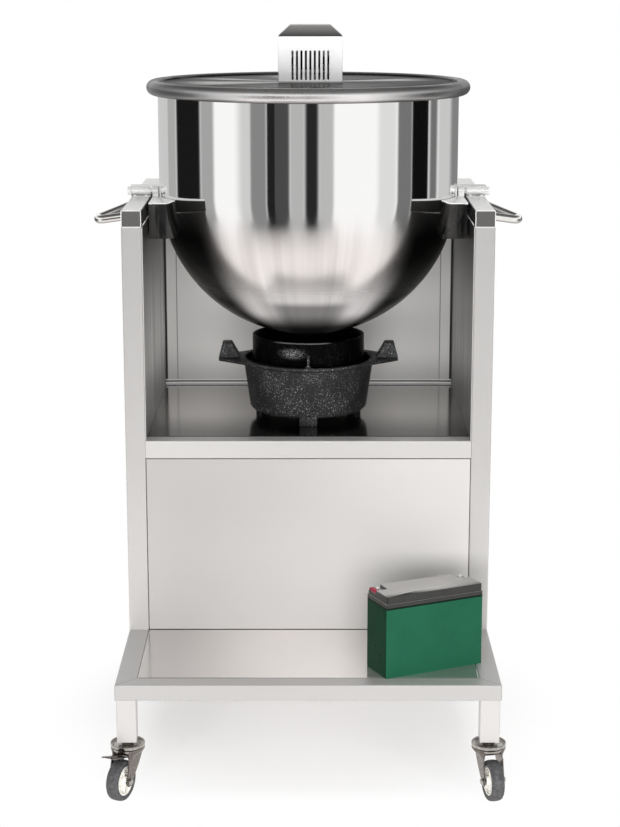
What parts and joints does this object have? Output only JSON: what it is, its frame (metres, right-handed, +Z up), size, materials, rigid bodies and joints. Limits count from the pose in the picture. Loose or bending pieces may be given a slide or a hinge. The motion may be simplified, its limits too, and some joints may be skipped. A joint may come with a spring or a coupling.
{
  "type": "cooking mixer machine",
  "caption": "Tilting round-bottom cooking bowl with a geared stirrer in its lid, over a cast iron gas burner, on a wheeled stainless steel frame with a front tray and battery.",
  "frame": {"origin": "on the floor, at the middle of the machine's footprint", "axes": "+X to the machine's right as seen from the front, +Y to the back, +Z up"},
  "size_m": [0.8112, 0.9403, 1.373],
  "materials": {
    "frame_steel": "satin brushed stainless steel tube and sheet",
    "polished_steel": "mirror polished stainless steel",
    "caster_steel": "zinc plated pressed steel",
    "wheel_hub": "light grey moulded plastic",
    "tyre": "dark grey rubber",
    "black_plastic": "black moulded plastic",
    "cast_iron": "black cast iron, grainy",
    "brass": "plain brass",
    "lever_red": "red dipped steel",
    "battery_green": "green moulded plastic",
    "battery_black": "dark grey moulded plastic",
    "terminal": "tinned metal tab",
    "gasket": "grey silicone rubber",
    "scraper": "white food grade plastic",
    "gear_steel": "machined steel",
    "motor_paint": "dark painted steel can"
  },
  "bodies": {
    "frame": {"base_rails": "frame_steel", "legs": "frame_steel", "leg_plugs": "black_plastic", "front_posts": "frame_steel", "rear_posts": "frame_steel", "shelf_rails": "frame_steel", "top_rails": "frame_steel", "rail_end_caps": "frame_steel", "tray_sheet": "frame_steel", "shelf_sheet": "frame_steel", "back_panel": "frame_steel", "lower_back_panel": "frame_steel", "upper_side_panels": "frame_steel", "lower_side_panels": "frame_steel", "panel_clips": "frame_steel", "left_handle": "polished_steel", "right_handle": "polished_steel", "left_pivot_bearing": "frame_steel", "right_pivot_bearing": "frame_steel", "burner_body": "cast_iron", "burner_ring": "cast_iron", "gas_pipe": "brass", "caster_stems": "caster_steel"},
    "access_panel": {"front_access_panel": "frame_steel"},
    "bowl": {"bowl_shell": "polished_steel", "bowl_rim": "polished_steel", "left_trunnion": "polished_steel", "right_trunnion": "polished_steel"},
    "lid": {"lid_plate": "polished_steel", "lid_gasket": "gasket", "motor_base": "frame_steel", "motor_cover": "polished_steel", "motor_bridge": "frame_steel", "motor_body": "motor_paint", "shaft_bearing": "brass", "power_socket": "black_plastic"},
    "rocker": {"switch_rocker": "black_plastic"},
    "pinion": {"motor_pinion": "gear_steel"},
    "stirrer": {"drive_gear": "gear_steel", "stirrer_shaft": "polished_steel", "anchor_paddle": "polished_steel", "scraper_blades": "scraper"},
    "gas_valve": {"gas_lever": "lever_red"},
    "battery": {"battery_case": "battery_green", "battery_lid": "battery_black", "battery_terminals": "terminal"},
    "front_left_swivel": {"front_left_fork": "caster_steel"},
    "front_left_wheel": {"front_left_hub": "wheel_hub", "front_left_tyre": "tyre"},
    "front_left_brake": {"front_left_pedal": "caster_steel"},
    "front_right_swivel": {"front_right_fork": "caster_steel"},
    "front_right_wheel": {"front_right_hub": "wheel_hub", "front_right_tyre": "tyre"},
    "rear_left_swivel": {"rear_left_fork": "caster_steel"},
    "rear_left_wheel": {"rear_left_hub": "wheel_hub", "rear_left_tyre": "tyre"},
    "rear_right_swivel": {"rear_right_fork": "caster_steel"},
    "rear_right_wheel": {"rear_right_hub": "wheel_hub", "rear_right_tyre": "tyre"},
    "rear_right_brake": {"rear_right_pedal": "caster_steel"}
  },
  "joints": [
    {"name": "bowl_tilt", "type": "hinge", "parent": "frame", "child": "bowl", "pos_m": [0, 0.11965, 1.051], "axis": [1, 0, 0], "range_deg": [0, 75]},
    {"name": "lid_lift", "type": "slide", "parent": "bowl", "child": "lid", "axis": [0, 0, 1], "range_m": [0, 0.6]},
    {"name": "stirrer_spin", "type": "hinge", "parent": "lid", "child": "stirrer", "pos_m": [0, 0.11965, 1.2713], "axis": [0, 0, 1], "continuous": true},
    {"name": "pinion_spin", "type": "hinge", "parent": "lid", "child": "pinion", "pos_m": [0, 0.15715, 1.2713], "axis": [0, 0, 1], "continuous": true},
    {"name": "switch_rock", "type": "hinge", "parent": "lid", "child": "rocker", "pos_m": [0.035, 0.18165, 1.30233], "axis": [1, 0, 0], "range_deg": [-7, 7]},
    {"name": "panel_pull", "type": "slide", "parent": "frame", "child": "access_panel", "axis": [0, -1, 0], "range_m": [0, 0.1]},
    {"name": "battery_lift", "type": "slide", "parent": "frame", "child": "battery", "axis": [0, 0, 1], "range_m": [0, 0.2]},
    {"name": "gas_lever_turn", "type": "hinge", "parent": "frame", "child": "gas_valve", "pos_m": [0, 0.43315, 0.678], "axis": [0, 0, 1], "range_deg": [0, 90]},
    {"name": "front_left_swivel_turn", "type": "hinge", "parent": "frame", "child": "front_left_swivel", "pos_m": [-0.33, -0.39635, 0.0894], "axis": [0, 0, 1], "continuous": true},
    {"name": "front_left_wheel_roll", "type": "hinge", "parent": "front_left_swivel", "child": "front_left_wheel", "pos_m": [-0.34139, -0.42193, 0.0375], "axis": [0.9135, -0.4067, 0], "continuous": true},
    {"name": "front_left_brake_press", "type": "hinge", "parent": "front_left_swivel", "child": "front_left_brake", "pos_m": [-0.33529, -0.40822, 0.0784], "axis": [0.9135, -0.4067, 0], "range_deg": [0, 10], "stiffness_Nm_per_rad": 0.5},
    {"name": "front_right_swivel_turn", "type": "hinge", "parent": "frame", "child": "front_right_swivel", "pos_m": [0.33, -0.39635, 0.0894], "axis": [0, 0, 1], "continuous": true},
    {"name": "front_right_wheel_roll", "type": "hinge", "parent": "front_right_swivel", "child": "front_right_wheel", "pos_m": [0.3363, -0.42363, 0.0375], "axis": [0.9744, 0.225, 0], "continuous": true},
    {"name": "rear_left_swivel_turn", "type": "hinge", "parent": "frame", "child": "rear_left_swivel", "pos_m": [-0.33, 0.43865, 0.0894], "axis": [0, 0, 1], "continuous": true},
    {"name": "rear_left_wheel_roll", "type": "hinge", "parent": "rear_left_swivel", "child": "rear_left_wheel", "pos_m": [-0.3339, 0.41092, 0.0375], "axis": [0.9903, -0.1392, 0], "continuous": true},
    {"name": "rear_right_swivel_turn", "type": "hinge", "parent": "frame", "child": "rear_right_swivel", "pos_m": [0.33, 0.43865, 0.0894], "axis": [0, 0, 1], "continuous": true},
    {"name": "rear_right_wheel_roll", "type": "hinge", "parent": "rear_right_swivel", "child": "rear_right_wheel", "pos_m": [0.33819, 0.41188, 0.0375], "axis": [0.9563, 0.2924, 0], "continuous": true},
    {"name": "rear_right_brake_press", "type": "hinge", "parent": "rear_right_swivel", "child": "rear_right_brake", "pos_m": [0.3338, 0.42622, 0.0784], "axis": [0.9563, 0.2924, 0], "range_deg": [0, 10], "stiffness_Nm_per_rad": 0.5}
  ],
  "couplings": [
    {"joint": "pinion_spin", "follows": "stirrer_spin", "ratio": -4}
  ]
}
